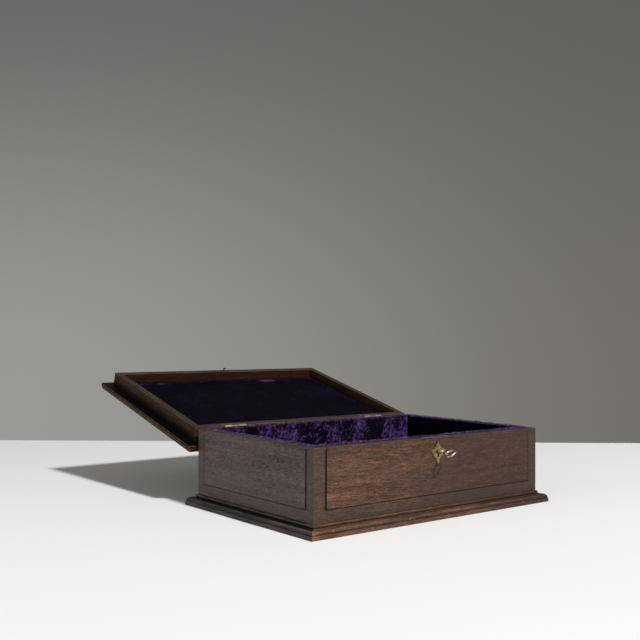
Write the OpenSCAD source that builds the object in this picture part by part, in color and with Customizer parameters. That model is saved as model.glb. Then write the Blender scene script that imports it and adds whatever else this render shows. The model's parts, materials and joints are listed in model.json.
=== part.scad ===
// Oak casket with a moulded plinth, a moulded lid, butt hinges, a box lock and velvet panels.
// The origin is at the centre of the underside, the front faces -Y, and the lid is shown open.

/* [Carcase] */
// Width of the carcase over its side boards
case_w = 350; // [260:1:460]
// Depth of the carcase over its front and back boards
case_d = 229; // [170:1:320]
// Height of the rim above the table
rim_z = 91.2; // [78:0.1:150]
// Thickness of the mitred boards and of the lid rails
wall_t = 9; // [8.6:0.1:12]
// Radius of the worn upright corners
corner_r = 1; // [0.3:0.1:2]
// Thickness of the base board
base_t = 8; // [6:0.5:11]
// Width of the rebate that holds the base board
rebate_w = 4.5; // [3:0.1:5.5]

/* [Panel grooves] */
// Width of the deep upright groove beside the front left and front right corners
groove_w = 1.8; // [1:0.1:3]
// Depth of the deep upright groove
groove_depth = 1.2; // [0.5:0.1:1.8]
// Width of the finer grooves
fine_w = 1.1; // [0.6:0.1:1.8]
// Depth of the finer grooves
fine_depth = 0.5; // [0.3:0.1:1]
// Distance from a corner to the groove on the front
groove_in_front = 15.2; // [10:0.1:25]
// Distance from a corner to the groove on a side
groove_in_side = 14; // [10:0.1:25]
// Height of the level groove above the plinth
groove_rise = 13.6; // [8:0.1:25]
// Distance from the rim to the top of the upright grooves
groove_stop = 1.5; // [0.5:0.1:8]

/* [Mouldings] */
// Height of the plinth moulding
plinth_h = 13.2; // [11.5:0.1:16]
// Distance that the plinth stands out past the carcase
plinth_out = 11; // [9.5:0.1:14]
// Distance that the lid board stands out past the rails
lid_out = 12; // [9.5:0.1:14]
// Height of the flat member at the widest part
member_h = 5; // [3.5:0.1:5.2]
// Radius of the arrises of the flat member
arris_r = 0.6; // [0.3:0.1:0.9]
// Radius of the curve over the flat member
nose_r = 4.5; // [3.6:0.1:4.8]
// Distance that the curve is set back from the flat member
nose_back = 0.5; // [0.3:0.1:1]
// Radius of the fine groove between flat member and curve
flute_r = 0.5; // [0.3:0.1:0.8]
// Distance that the bead stands out past the carcase
bead_out = 1.8; // [1.2:0.1:2.2]
// Radius of the quirk under the bead
quirk_r = 0.9; // [0.5:0.1:1.1]
// Radius on the outer edge of the bead
bead_r = 0.8; // [0.3:0.1:1]

/* [Lid] */
// Height of the lid rails
rail_h = 18; // [15:0.5:28]
// Thickness of the lid board
lid_board_t = 12.5; // [11.5:0.1:16]
// Gap between the rim and the closed lid
joint_gap = 0.3; // [0.2:0.05:0.5]

/* [Hinges] */
// Length of a hinge
hinge_l = 31; // [24:0.5:40]
// Distance from the left end of the carcase to the middle of the left hinge
hinge_in_left = 55; // [35:1:75]
// Distance from the right end of the carcase to the middle of the right hinge
hinge_in_right = 67; // [35:1:75]
// Distance from the back of the carcase to the hinge axis
hinge_out = 3.6; // [2.9:0.05:4.2]
// Radius of the knuckles
knuckle_r = 2.5; // [2:0.05:2.5]
// Radius of the hinge pin
hinge_pin_r = 1.1; // [0.8:0.05:1.3]
// Width of a leaf on the wood
leaf_w = 7.4; // [6:0.1:8]
// Thickness of a leaf
leaf_t = 1.2; // [0.8:0.05:1.5]

/* [Lock] */
// Distance from the middle of the carcase to the keyhole
lock_x = 2; // [-10:0.5:10]
// Distance from the rim down to the middle of the keyhole
key_drop = 16.8; // [16:0.1:19]
// Width of the lock body
body_w = 36; // [35:0.5:42]
// Width of the main plate on each side of the lock body
lock_flange = 4; // [3.6:0.1:7]
// Depth of the lock from the inner face to its cover
lock_depth = 6.4; // [6:0.1:6.6]
// Thickness of the main plate and the selvedge
main_t = 1.2; // [1:0.1:1.4]
// Thickness of the cover and the body walls
shell_t = 1; // [0.8:0.1:1.2]
// Width of the selvedge across the rim
selvedge_w = 7; // [6.8:0.1:7.4]
// Travel of the bolt
bolt_throw = 6; // [5:0.1:6.5]
// Thickness of the bolt
bolt_t = 1.6; // [1.2:0.1:2]

/* [Key] */
// Reach of the bit from the axis of the key
bit_reach = 5.4; // [5:0.1:5.8]
// Thickness of the bit
bit_t = 1.2; // [1:0.1:1.5]
// Angle of the bow from upright, as the key stands in the lock
key_angle = 62; // [58:1:64]
// Radius of the shank
shank_r = 1.9; // [1.6:0.1:2.1]
// Distance from the front board to the middle of the bow
bow_reach = 19.5; // [17:0.5:26]
// Radius of the middle line of the bow
bow_r = 5.4; // [5:0.1:8]
// Length of the straight between the two halves of the bow
bow_straight = 2.3; // [1:0.1:4]
// Radius of the bow's wire
bow_wire_r = 1.1; // [0.8:0.1:1.3]
// Radius of the keyhole
keyhole_r = 2.6; // [2.4:0.1:2.9]
// Width of the slot under the keyhole
slot_w = 2; // [1.8:0.1:2.4]

/* [Escutcheon] */
// Half width of the escutcheon
esc_half_w = 11.4; // [10:0.1:14]
// Height of its top point above the keyhole
esc_up = 11.4; // [10:0.1:13]
// Depth of its lower point under the keyhole
esc_down = 13.8; // [11:0.1:17]
// Height of its side points above the keyhole
esc_side_z = 2.2; // [1:0.1:4]
// Hollow of its upper edges
esc_hollow = 1.6; // [1:0.1:2.2]
// Thickness of the escutcheon
esc_t = 1; // [0.6:0.1:1.5]

/* [Velvet] */
// Thickness of a velvet panel on a wall
lining_t = 2.4; // [1.6:0.1:3.4]
// Distance that the velvet stands above the rim
lining_rise = 0.8; // [0.3:0.1:1.4]
// Thickness of a pad at its edges
pad_edge = 5; // [3:0.1:7]
// Height of the crown in the middle of a pad
pad_crown = 1.8; // [0.5:0.1:3]

/* [Hidden] */
$fn = 48;

oak = [0.24, 0.15, 0.10];
oak_dark = [0.16, 0.11, 0.08];
oak_lid = [0.20, 0.13, 0.09];
velvet = [0.16, 0.07, 0.30];
brass = [0.62, 0.51, 0.30];
steel = [0.55, 0.53, 0.50];

// The four sides are numbered from the front, anticlockwise seen from above
FRONT = 0;
RIGHT = FRONT + 1;
BACK = RIGHT + 1;
LEFT = BACK + 1;
over = 1;            // how far a cutter runs past the face that it opens
play = 0.05;         // radial clearance of pins and screws in their holes
run = 0.2;           // clearance of a sliding lock part
pass = 0.3;          // clearance of lock parts that pass each other

// Levels and faces
face_y = -case_d / 2;
inner_y = face_y + wall_t;
lid_z = rim_z + joint_gap;
lid_board_z = lid_z + rail_h;

// Base board pins
pin_r = 0.6;
pin_head_r = 1.2;
pin_head_h = 0.5;
pin_bite = 12;

// Hinges
hinge_y = case_d / 2 + hinge_out;
hinge_z = rim_z + joint_gap / 2;
hinge_xs = [-case_w / 2 + hinge_in_left, case_w / 2 - hinge_in_right];
knuckle_l = hinge_l / 3;
knuckle_gap = 0.3;
leaf_lip = hinge_out - knuckle_r - knuckle_gap;
hinge_screw_step = hinge_l / 3;
hinge_screw_r = 1;
hinge_screw_head_r = 1.9;
hinge_screw_head_h = 0.8;
hinge_screw_l = 10;

// The lid opens until the rounded edge of its board is this far from the back of the carcase
rest_gap = 0.3;
edge_y = lid_out - arris_r - hinge_out;
edge_z = rail_h + joint_gap / 2 + arris_r;
edge_stop = arris_r + rest_gap - hinge_out;
open_angle = atan2(edge_z, edge_y) + acos(edge_stop / norm([edge_y, edge_z]));

// Lock
bit_play = 0.4;
cover_t = shell_t;
plate_w = body_w + 2 * lock_flange;
key_z = rim_z - key_drop;
cover_y = inner_y - lock_depth;
room_out_y = cover_y + cover_t;
room_in_y = inner_y - main_t;
bolt_y = (room_out_y + room_in_y) / 2;
body_h = key_drop + bit_reach + bit_play + shell_t;
plate_below = 1.5;
plate_h = body_h + plate_below;
lock_screw_r = 0.9;
lock_screw_head_r = 1.6;
lock_screw_head_h = 0.8;
lock_screw_l = 6;
lock_screw_top = 8;
lock_screw_low = 4;
lock_screw_zs = [rim_z - lock_screw_top, rim_z - plate_h + lock_screw_low];
drill_pin_r = 0.9;
drill_pin_l = 5.4;
slot_bottom = bit_reach + bit_play;

// Hook on the lid and the finger of the bolt that passes over its toe
hook_t = 1.4;
hook_neck_w = 1.6;
hook_toe_w = 1.6;
hook_toe_h = 1.6;
hook_drop = 4.6;
hook_plate_w = 20;
hook_plate_d = 6;
hook_plate_t = 1;
hook_screw_x = 6.5;
hook_screw_r = 0.8;
hook_screw_head_r = 1.5;
hook_screw_head_h = 0.7;
hook_screw_l = 8;
finger_z = rim_z - hook_drop + hook_toe_h + pass;
finger_h = rim_z - main_t - run - finger_z;
finger_tip = bolt_throw + pass;
finger_l = 2;
bolt_neck_w = 4.5;

// Bolt plate and its notch for the bit, which swings evenly to both sides of upright
key_swing = 2 * key_angle;
bolt_rise = 3;
bolt_under_hook = 0.5;
bolt_low_z = key_z + bolt_rise;
bolt_high_z = rim_z - hook_drop - bolt_under_hook;
bolt_l = 24;
bolt_left = (bolt_throw - bolt_l) / 2;
enter_angle = acos((bolt_low_z - key_z) / bit_reach);
notch_half = bit_reach * sin(enter_angle) - bolt_throw * enter_angle / key_swing + bit_t / 2 + run;
guide_r = 1;
guide_x = 7.5;

// Spring over the bolt
spring_t = 0.5;
spring_w = 2;
spring_half = 7;
spring_mid = shell_t + spring_half - body_w / 2;

// Key
pipe_bore_r = drill_pin_r + 2 * play;
key_end_y = room_in_y - pass;
bit_l = room_in_y - room_out_y - 2 * pass;
collar_out = 7.2;
collar_y = face_y - collar_out;
collar_r = 2.9;
collar_w = 2;
neck_r = 2.3;
neck_w = 1.6;

// Escutcheon: a short straight is left at both ends of a hollow edge
esc_tip = 0.6;
esc_pin_in = 2.6;
esc_pin_drop = 0.3;
esc_pin_x = esc_half_w - esc_pin_in;
esc_pin_z = esc_side_z - esc_pin_drop;
esc_pin_r = 0.5;
esc_pin_bite = 2;
esc_head_r = 1;
esc_head_h = 0.5;

// Velvet
pad_cells_x = 14;
pad_cells_y = 10;
pad_gap = 0.3;
pad_side = 0.45;     // height of a pad's outline as a share of its edge

function side_length(side) = side % 2 == 0 ? case_w : case_d;
function groove_in(side) = side % 2 == 0 ? groove_in_front : groove_in_side;
function pin_places(side) = side % 2 == 0 ? [-3, -1, 1, 3] * case_w / 8 : [-1, 1] * case_d / 4;

// Places children on a side: X runs along it, Y points inward from its outer face
module at_side(side)
    rotate([0, 0, 90 * side])
        translate([0, -(side % 2 == 0 ? case_d : case_w) / 2, 0])
            children();

module mitre_prism(length, inward, outward, low, high)
    translate([0, 0, low])
        linear_extrude(high - low)
            polygon([
                [-length / 2 - outward, -outward],
                [length / 2 + outward, -outward],
                [length / 2 - inward, inward],
                [-length / 2 + inward, inward]
            ]);

module eased_rectangle(w, d, r) {
    square([w - 2 * r, d], center = true);
    square([w, d - 2 * r], center = true);
    for (x = [-1, 1], y = [-1, 1])
        translate([x * (w / 2 - r), y * (d / 2 - r)])
            circle(r);
}

// One of four mitred boards that make a frame flush with the carcase
module mitred_board(side, low, high)
    intersection() {
        at_side(side) mitre_prism(side_length(side), wall_t, 0, low, high);
        translate([0, 0, low])
            linear_extrude(high - low)
                eased_rectangle(case_w, case_d, corner_r);
    }

// Scratched groove on three sides of a panel: the upright next to a seen front corner is the deep one
module panel_groove(side)
    at_side(side) {
        half = side_length(side) / 2 - groove_in(side);
        deep_end = side == LEFT ? half : -half;
        low = plinth_h + groove_rise - fine_w / 2;
        translate([deep_end - groove_w / 2, -over, low])
            cube([groove_w, over + groove_depth, rim_z - groove_stop - low]);
        translate([-deep_end - fine_w / 2, -over, low])
            cube([fine_w, over + fine_depth, rim_z - groove_stop - low]);
        translate([-half - fine_w / 2, -over, low])
            cube([2 * half + fine_w, over + fine_depth, fine_w]);
    }

module base_block(low)
    translate([0, 0, (base_t + low) / 2])
        cube([case_w - 2 * (wall_t - rebate_w), case_d - 2 * (wall_t - rebate_w), base_t - low],
            center = true);

module at_base_pins(side)
    at_side(side)
        for (x = pin_places(side))
            translate([x, wall_t - rebate_w / 2, 0])
                children();

module panel_pin(spare) {
    cylinder(h = base_t + pin_bite + spare, r = pin_r + spare);
    cylinder(h = pin_head_h, r = pin_head_r + spare);
}

// Countersunk screw with its head level with the origin, pointing down
module wood_screw(r, head_r, head_h, length)
    difference() {
        union() {
            translate([0, 0, -length]) cylinder(h = length, r = r);
            translate([0, 0, -head_h]) cylinder(h = head_h, r1 = r, r2 = head_r);
        }
        cube([2 * head_r + over, head_r / 4, head_h], center = true);
    }

module screw_hole(r, head_r, head_h, length) {
    translate([0, 0, -length - play]) cylinder(h = length + play, r = r + play);
    translate([0, 0, -head_h]) cylinder(h = head_h, r1 = r + play, r2 = head_r + play);
}

module keyhole_outline() {
    circle(keyhole_r);
    translate([-slot_w / 2, -slot_bottom]) square([slot_w, slot_bottom]);
}

module keyhole_cut(from_y, to_y)
    translate([lock_x, to_y, key_z])
        rotate([90, 0, 0])
            linear_extrude(to_y - from_y)
                keyhole_outline();

// Blocks of the lock, shared by its case and by the mortise in the front board
module main_plate_block()
    translate([lock_x - plate_w / 2, inner_y - main_t, rim_z - plate_h])
        cube([plate_w, main_t, plate_h]);

module selvedge_block()
    translate([lock_x - plate_w / 2, inner_y - selvedge_w, rim_z - main_t])
        cube([plate_w, selvedge_w, main_t]);

module lock_body_block(depth)
    translate([lock_x - body_w / 2, inner_y - depth, rim_z - body_h])
        cube([body_w, depth, body_h]);

module at_lock_screws()
    for (side = [-1, 1], z = lock_screw_zs)
        translate([lock_x + side * (body_w + lock_flange) / 2, inner_y, z])
            rotate([-90, 0, 0])
                children();

module at_escutcheon_pins()
    for (side = [-1, 1])
        translate([lock_x + side * esc_pin_x, face_y, key_z + esc_pin_z])
            rotate([90, 0, 0])
                children();

module front_board()
    color(oak)
        difference() {
            mitred_board(FRONT, 0, rim_z);
            panel_groove(FRONT);
            base_block(-over);
            at_base_pins(FRONT) panel_pin(play);
            main_plate_block();
            selvedge_block();
            lock_body_block(lock_depth);
            keyhole_cut(face_y - over, cover_y + over);
            at_lock_screws() screw_hole(lock_screw_r, lock_screw_head_r, lock_screw_head_h, lock_screw_l);
            at_escutcheon_pins()
                translate([0, 0, -esc_pin_bite - play])
                    cylinder(h = esc_pin_bite + over, r = esc_pin_r + play);
        }

module side_board(side)
    color(oak_dark)
        difference() {
            mitred_board(side, 0, rim_z);
            panel_groove(side);
            base_block(-over);
            at_base_pins(side) panel_pin(play);
        }

module left_board() side_board(LEFT);

module right_board() side_board(RIGHT);

module back_board()
    color(oak)
        difference() {
            mitred_board(BACK, 0, rim_z);
            base_block(-over);
            at_base_pins(BACK) panel_pin(play);
            for (x = hinge_xs) {
                leaf_plate(x, rim_z - leaf_t, over);
                at_hinge_screws(x, rim_z)
                    screw_hole(hinge_screw_r, hinge_screw_head_r, hinge_screw_head_h, hinge_screw_l);
            }
        }

module base_board()
    color(oak_dark)
        difference() {
            base_block(0);
            for (side = [FRONT, RIGHT, BACK, LEFT])
                at_base_pins(side) panel_pin(play);
        }

module base_pins()
    color(steel)
        for (side = [FRONT, RIGHT, BACK, LEFT])
            at_base_pins(side) panel_pin(0);

// Section of the moulded edge: X runs outward from the carcase face, Y runs up.
// From below: a flat member, a fine groove, a quarter round, a quirk and a bead.
module edge_section(h, out) {
    nose_x = out - nose_back - nose_r;
    nose_top = member_h + nose_r;
    difference() {
        union() {
            translate([-over, 0]) square([over + out - arris_r, member_h]);
            translate([-over, arris_r]) square([over + out, member_h - 2 * arris_r]);
            for (y = [arris_r, member_h - arris_r])
                translate([out - arris_r, y]) circle(arris_r, $fn = 24);
            translate([-over, member_h]) square([over + nose_x, nose_r]);
            intersection() {
                translate([nose_x, member_h]) circle(nose_r);
                translate([0, member_h]) square([out, nose_r]);
            }
            translate([-over, nose_top]) square([over + bead_out, h - bead_r - nose_top]);
            translate([-over, nose_top]) square([over + bead_out - bead_r, h - nose_top]);
            translate([bead_out - bead_r, h - bead_r]) circle(bead_r, $fn = 24);
        }
        translate([out - nose_back, member_h]) circle(flute_r, $fn = 24);
        translate([bead_out, nose_top + quirk_r / 2]) circle(quirk_r, $fn = 24);
    }
}

module moulded_section(span, h, out) {
    translate([-span / 2, 0]) square([span, h]);
    for (flip = [0, 1])
        mirror([flip, 0])
            translate([span / 2, 0])
                edge_section(h, out);
}

// Board moulded on all four edges: what the two crossed sections share is mitred at the corners
module moulded_block(h, out)
    intersection() {
        rotate([90, 0, 90])
            linear_extrude(case_w + 2 * (out + over), center = true)
                moulded_section(case_d, h, out);
        rotate([90, 0, 0])
            linear_extrude(case_d + 2 * (out + over), center = true)
                moulded_section(case_w, h, out);
    }

module plinth_strip(side)
    color(oak)
        intersection() {
            moulded_block(plinth_h, plinth_out);
            at_side(side) mitre_prism(side_length(side), 0, plinth_out + over, 0, plinth_h);
        }

module plinth_front() plinth_strip(FRONT);

module plinth_right() plinth_strip(RIGHT);

module plinth_back() plinth_strip(BACK);

module plinth_left() plinth_strip(LEFT);

// Velvet turned over card: a thin panel against the wall with a round top edge
module wall_lining(side, short)
    color(velvet)
        at_side(side)
            rotate([90, 0, 90])
                linear_extrude(side_length(side) - 2 * (wall_t + short), center = true) {
                    straight = rim_z + lining_rise - lining_t / 2 - base_t;
                    translate([wall_t, base_t]) square([lining_t, straight]);
                    translate([wall_t + lining_t / 2, base_t + straight]) circle(lining_t / 2);
                }

module lining_front() wall_lining(FRONT, 0);

module lining_back() wall_lining(BACK, 0);

module lining_left() wall_lining(LEFT, lining_t);

module lining_right() wall_lining(RIGHT, lining_t);

// Place of a grid line across a pad of this length: the outer cells are one edge wide
function pad_line(i, cells, length, edge) =
    i == 0 ? -length / 2 :
    i == cells ? length / 2 :
    (length / 2 - edge) * (2 * (i - 1) / (cells - 2) - 1);

function pad_height(x, y, w, d, edge) =
    abs(x) >= w / 2 || abs(y) >= d / 2 ? edge * pad_side :
    edge + pad_crown * (1 - pow(2 * x / w, 4)) * (1 - pow(2 * y / d, 4));

// Wadded panel on its flat back: rolled edges and a low crown
module pad(w, d) {
    nx = pad_cells_x;
    ny = pad_cells_y;
    layer = (nx + 1) * (ny + 1);
    lines = [for (j = [0:ny], i = [0:nx])
        [pad_line(i, nx, w, pad_edge), pad_line(j, ny, d, pad_edge)]];
    bottoms = [for (p = lines) [p[0], p[1], 0]];
    tops = [for (p = lines) [p[0], p[1], pad_height(p[0], p[1], w, d, pad_edge)]];
    squares = [for (j = [0:ny - 1], i = [0:nx - 1]) j * (nx + 1) + i];
    rim = concat(
        [for (i = [0:nx - 1]) i],
        [for (j = [0:ny - 1]) nx + j * (nx + 1)],
        [for (i = [nx:-1:1]) ny * (nx + 1) + i],
        [for (j = [ny:-1:1]) j * (nx + 1)]);
    count = len(rim);
    faces = concat(
        [for (a = squares) [a, a + 1, a + nx + 2]],
        [for (a = squares) [a, a + nx + 2, a + nx + 1]],
        [for (a = squares) [layer + a, layer + a + nx + 2, layer + a + 1]],
        [for (a = squares) [layer + a, layer + a + nx + 1, layer + a + nx + 2]],
        [for (i = [0:count - 1]) [rim[i], layer + rim[i], layer + rim[(i + 1) % count]]],
        [for (i = [0:count - 1]) [rim[i], layer + rim[(i + 1) % count], rim[(i + 1) % count]]]);
    polyhedron(points = concat(bottoms, tops), faces = faces);
}

module lining_floor()
    color(velvet)
        translate([0, 0, base_t])
            pad(case_w - 2 * (wall_t + lining_t + pad_gap), case_d - 2 * (wall_t + lining_t + pad_gap));

// Kite with hollow upper edges and straight lower edges
module escutcheon_outline() {
    edge = norm([esc_half_w, esc_up - esc_side_z]);
    half = edge / 2 - esc_tip;
    hollow_r = (half * half + esc_hollow * esc_hollow) / (2 * esc_hollow);
    out = [esc_up - esc_side_z, esc_half_w] / edge;
    middle = [esc_half_w, esc_up + esc_side_z] / 2;
    difference() {
        polygon([[0, esc_up], [esc_half_w, esc_side_z], [0, -esc_down], [-esc_half_w, esc_side_z]]);
        for (flip = [0, 1])
            mirror([flip, 0])
                translate(middle + out * (hollow_r - esc_hollow))
                    circle(hollow_r, $fn = 96);
        keyhole_outline();
    }
}

module escutcheon()
    color(brass)
        difference() {
            translate([lock_x, face_y, key_z])
                rotate([90, 0, 0])
                    linear_extrude(esc_t)
                        escutcheon_outline();
            at_escutcheon_pins() translate([0, 0, -over]) cylinder(h = esc_t + 2 * over, r = esc_pin_r + play);
        }

module escutcheon_pins()
    color(brass)
        at_escutcheon_pins() {
            translate([0, 0, -esc_pin_bite]) cylinder(h = esc_pin_bite + esc_t, r = esc_pin_r);
            translate([0, 0, esc_t])
                rotate_extrude()
                    intersection() {
                        translate([0, esc_head_h - (pow(esc_head_r, 2) + pow(esc_head_h, 2)) / (2 * esc_head_h)])
                            circle((pow(esc_head_r, 2) + pow(esc_head_h, 2)) / (2 * esc_head_h));
                        square([esc_head_r, esc_head_h]);
                    }
        }

module hook_slot()
    translate([lock_x - hook_neck_w - 2 * pass, bolt_y - hook_t / 2 - 2 * pass, rim_z - main_t - over])
        cube([hook_neck_w + hook_toe_w + 4 * pass, hook_t + 4 * pass, main_t + 2 * over]);

module lock_case()
    color(steel) {
        difference() {
            union() {
                main_plate_block();
                selvedge_block();
                lock_body_block(lock_depth - cover_t);
            }
            translate([lock_x - body_w / 2 + shell_t, room_out_y - over, rim_z - body_h + shell_t])
                cube([body_w - 2 * shell_t, room_in_y - room_out_y + over, body_h - shell_t - main_t]);
            hook_slot();
            translate([lock_x, inner_y + over, key_z])
                rotate([90, 0, 0])
                    cylinder(h = main_t + 2 * over, r = drill_pin_r + play);
            at_lock_screws() screw_hole(lock_screw_r, lock_screw_head_r, lock_screw_head_h, lock_screw_l);
        }
        for (x = [-guide_x, guide_x])
            translate([lock_x + x, room_in_y, bolt_low_z - run - guide_r])
                rotate([90, 0, 0])
                    cylinder(h = room_in_y - room_out_y, r = guide_r);
    }

module lock_cover()
    color(steel)
        difference() {
            translate([lock_x - body_w / 2, cover_y, rim_z - body_h])
                cube([body_w, cover_t, body_h - main_t]);
            keyhole_cut(cover_y - over, room_out_y + over);
        }

module lock_drill_pin()
    color(steel)
        translate([lock_x, inner_y, key_z])
            rotate([90, 0, 0])
                cylinder(h = main_t + drill_pin_l, r = drill_pin_r);

// Bowed strip under the selvedge that bears on the bolt
module lock_spring()
    color(steel) {
        sag = rim_z - main_t - bolt_high_z - run;
        bow = (spring_half * spring_half + sag * sag) / (2 * sag);
        translate([lock_x + spring_mid, bolt_y + spring_w / 2, bolt_high_z + run + bow])
            rotate([90, 0, 0])
                linear_extrude(spring_w)
                    intersection() {
                        difference() {
                            circle(bow, $fn = 96);
                            circle(bow - spring_t, $fn = 96);
                        }
                        translate([-spring_half, -bow]) square([2 * spring_half, sag]);
                    }
    }

module lock_screws()
    color(brass)
        at_lock_screws() wood_screw(lock_screw_r, lock_screw_head_r, lock_screw_head_h, lock_screw_l);

module lock_bolt()
    color(brass)
        translate([lock_x, bolt_y - bolt_t / 2, 0])
            difference() {
                union() {
                    translate([bolt_left, 0, bolt_low_z])
                        cube([bolt_l, bolt_t, bolt_high_z - bolt_low_z]);
                    translate([finger_tip + finger_l, 0, bolt_low_z])
                        cube([bolt_neck_w, bolt_t, finger_z + finger_h - bolt_low_z]);
                    translate([finger_tip, 0, finger_z])
                        cube([finger_l + bolt_neck_w, bolt_t, finger_h]);
                }
                translate([bolt_throw / 2 - notch_half, -over, bolt_low_z - over])
                    cube([2 * notch_half, bolt_t + 2 * over, over + key_z + bit_reach + bit_play - bolt_low_z]);
            }

module key_cylinder(from_y, to_y, r)
    translate([0, to_y, 0])
        rotate([90, 0, 0])
            cylinder(h = to_y - from_y, r = r);

// Ring in the plane of the bit: two half rings joined by short straights
module key_bow()
    translate([0, face_y - bow_reach, 0])
        for (flip = [0, 1])
            mirror([0, 0, flip]) {
                translate([0, 0, bow_straight / 2])
                    rotate([0, 90, 0])
                        rotate([0, 0, 90])
                            rotate_extrude(angle = 180)
                                translate([bow_r, 0]) circle(bow_wire_r);
                for (y = [-bow_r, bow_r])
                    translate([0, y, 0])
                        cylinder(h = bow_straight / 2, r = bow_wire_r);
            }

module key()
    color(brass)
        translate([lock_x, 0, key_z])
            rotate([0, key_angle, 0])
                difference() {
                    union() {
                        key_cylinder(face_y - bow_reach + bow_r, key_end_y, shank_r);
                        translate([0, collar_y, 0])
                            rotate([90, 0, 0])
                                rotate_extrude() {
                                    square([collar_r - collar_w / 2, collar_w]);
                                    translate([collar_r - collar_w / 2, collar_w / 2]) circle(collar_w / 2);
                                }
                        key_cylinder(face_y - bow_reach + bow_r, face_y - bow_reach + bow_r + neck_w, neck_r);
                        key_bow();
                        translate([-bit_t / 2, key_end_y - bit_l, 0])
                            cube([bit_t, bit_l, bit_reach]);
                    }
                    key_cylinder(key_end_y - drill_pin_l, key_end_y + over, pipe_bore_r);
                }

// Flat part of a hinge leaf on the back edge, one leaf thick above this level
module leaf_plate(x, low, past)
    translate([x - hinge_l / 2, case_d / 2 - leaf_w, low])
        cube([hinge_l, leaf_w + past, leaf_t]);

module knuckle(x, from_x, to_x)
    translate([x + from_x, hinge_y, hinge_z])
        rotate([0, 90, 0])
            cylinder(h = to_x - from_x, r = knuckle_r);

module leaf_web(x, from_x, to_x, low)
    translate([x + from_x, case_d / 2 - leaf_w / 2, low])
        cube([to_x - from_x, leaf_w / 2 + hinge_out, leaf_t]);

module at_hinge_screws(x, z)
    for (step = [-hinge_screw_step, 0, hinge_screw_step])
        translate([x + step, case_d / 2 - leaf_w / 2, z])
            children();

module hinge_bore(x, r)
    translate([x - hinge_l / 2 - over, hinge_y, hinge_z])
        rotate([0, 90, 0])
            cylinder(h = hinge_l + 2 * over, r = r);

module case_leaf(x)
    color(brass)
        difference() {
            union() {
                leaf_plate(x, rim_z - leaf_t, leaf_lip);
                for (flip = [0, 1])
                    translate([x, 0, 0])
                        mirror([flip, 0, 0]) {
                            knuckle(0, knuckle_l / 2 + knuckle_gap / 2, hinge_l / 2);
                            leaf_web(0, knuckle_l / 2 + knuckle_gap / 2, hinge_l / 2, rim_z - leaf_t);
                        }
            }
            hinge_bore(x, hinge_pin_r + play);
            at_hinge_screws(x, rim_z)
                screw_hole(hinge_screw_r, hinge_screw_head_r, hinge_screw_head_h, hinge_screw_l);
        }

module lid_leaf(x)
    color(brass)
        as_open()
            difference() {
                union() {
                    leaf_plate(x, lid_z, leaf_lip);
                    knuckle(x, knuckle_gap / 2 - knuckle_l / 2, knuckle_l / 2 - knuckle_gap / 2);
                    leaf_web(x, knuckle_gap / 2 - knuckle_l / 2, knuckle_l / 2 - knuckle_gap / 2, lid_z);
                }
                hinge_bore(x, hinge_pin_r + play);
                at_hinge_screws(x, lid_z)
                    mirror([0, 0, 1])
                        screw_hole(hinge_screw_r, hinge_screw_head_r, hinge_screw_head_h, hinge_screw_l);
            }

module hinge_pin(x)
    color(steel)
        translate([x - hinge_l / 2, hinge_y, hinge_z])
            rotate([0, 90, 0])
                cylinder(h = hinge_l, r = hinge_pin_r);

module left_hinge_case_leaf() case_leaf(hinge_xs[0]);

module right_hinge_case_leaf() case_leaf(hinge_xs[1]);

module left_hinge_lid_leaf() lid_leaf(hinge_xs[0]);

module right_hinge_lid_leaf() lid_leaf(hinge_xs[1]);

module left_hinge_pin() hinge_pin(hinge_xs[0]);

module right_hinge_pin() hinge_pin(hinge_xs[1]);

module case_hinge_screws()
    color(steel)
        for (x = hinge_xs)
            at_hinge_screws(x, rim_z)
                wood_screw(hinge_screw_r, hinge_screw_head_r, hinge_screw_head_h, hinge_screw_l);

module lid_hinge_screws()
    color(steel)
        as_open()
            for (x = hinge_xs)
                at_hinge_screws(x, lid_z)
                    mirror([0, 0, 1])
                        wood_screw(hinge_screw_r, hinge_screw_head_r, hinge_screw_head_h, hinge_screw_l);

// Lid parts are drawn on the closed lid and swung back about the hinge axis
module as_open()
    translate([0, hinge_y, hinge_z])
        rotate([-open_angle, 0, 0])
            translate([0, -hinge_y, -hinge_z])
                children();

module lid_rail(side) mitred_board(side, lid_z, lid_board_z);

module hook_plate_block()
    translate([lock_x - hook_plate_w / 2, bolt_y - hook_plate_d / 2, lid_z])
        cube([hook_plate_w, hook_plate_d, hook_plate_t]);

module at_hook_screws()
    for (side = [-1, 1])
        translate([lock_x + side * hook_screw_x, bolt_y, lid_z])
            mirror([0, 0, 1])
                children();

module lid_front_rail()
    color(oak_lid)
        as_open()
            difference() {
                lid_rail(FRONT);
                hook_plate_block();
                at_hook_screws() screw_hole(hook_screw_r, hook_screw_head_r, hook_screw_head_h, hook_screw_l);
            }

module lid_back_rail()
    color(oak_lid)
        as_open()
            difference() {
                lid_rail(BACK);
                for (x = hinge_xs) {
                    leaf_plate(x, lid_z, over);
                    at_hinge_screws(x, lid_z)
                        mirror([0, 0, 1])
                            screw_hole(hinge_screw_r, hinge_screw_head_r, hinge_screw_head_h, hinge_screw_l);
                }
            }

module lid_left_rail() color(oak_lid) as_open() lid_rail(LEFT);

module lid_right_rail() color(oak_lid) as_open() lid_rail(RIGHT);

module lid_board()
    color(oak_lid)
        as_open()
            translate([0, 0, lid_board_z])
                moulded_block(lid_board_t, lid_out);

module lid_lining()
    color(velvet)
        as_open()
            translate([0, 0, lid_board_z])
                mirror([0, 0, 1])
                    pad(case_w - 2 * (wall_t + pad_gap), case_d - 2 * (wall_t + pad_gap));

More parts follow.
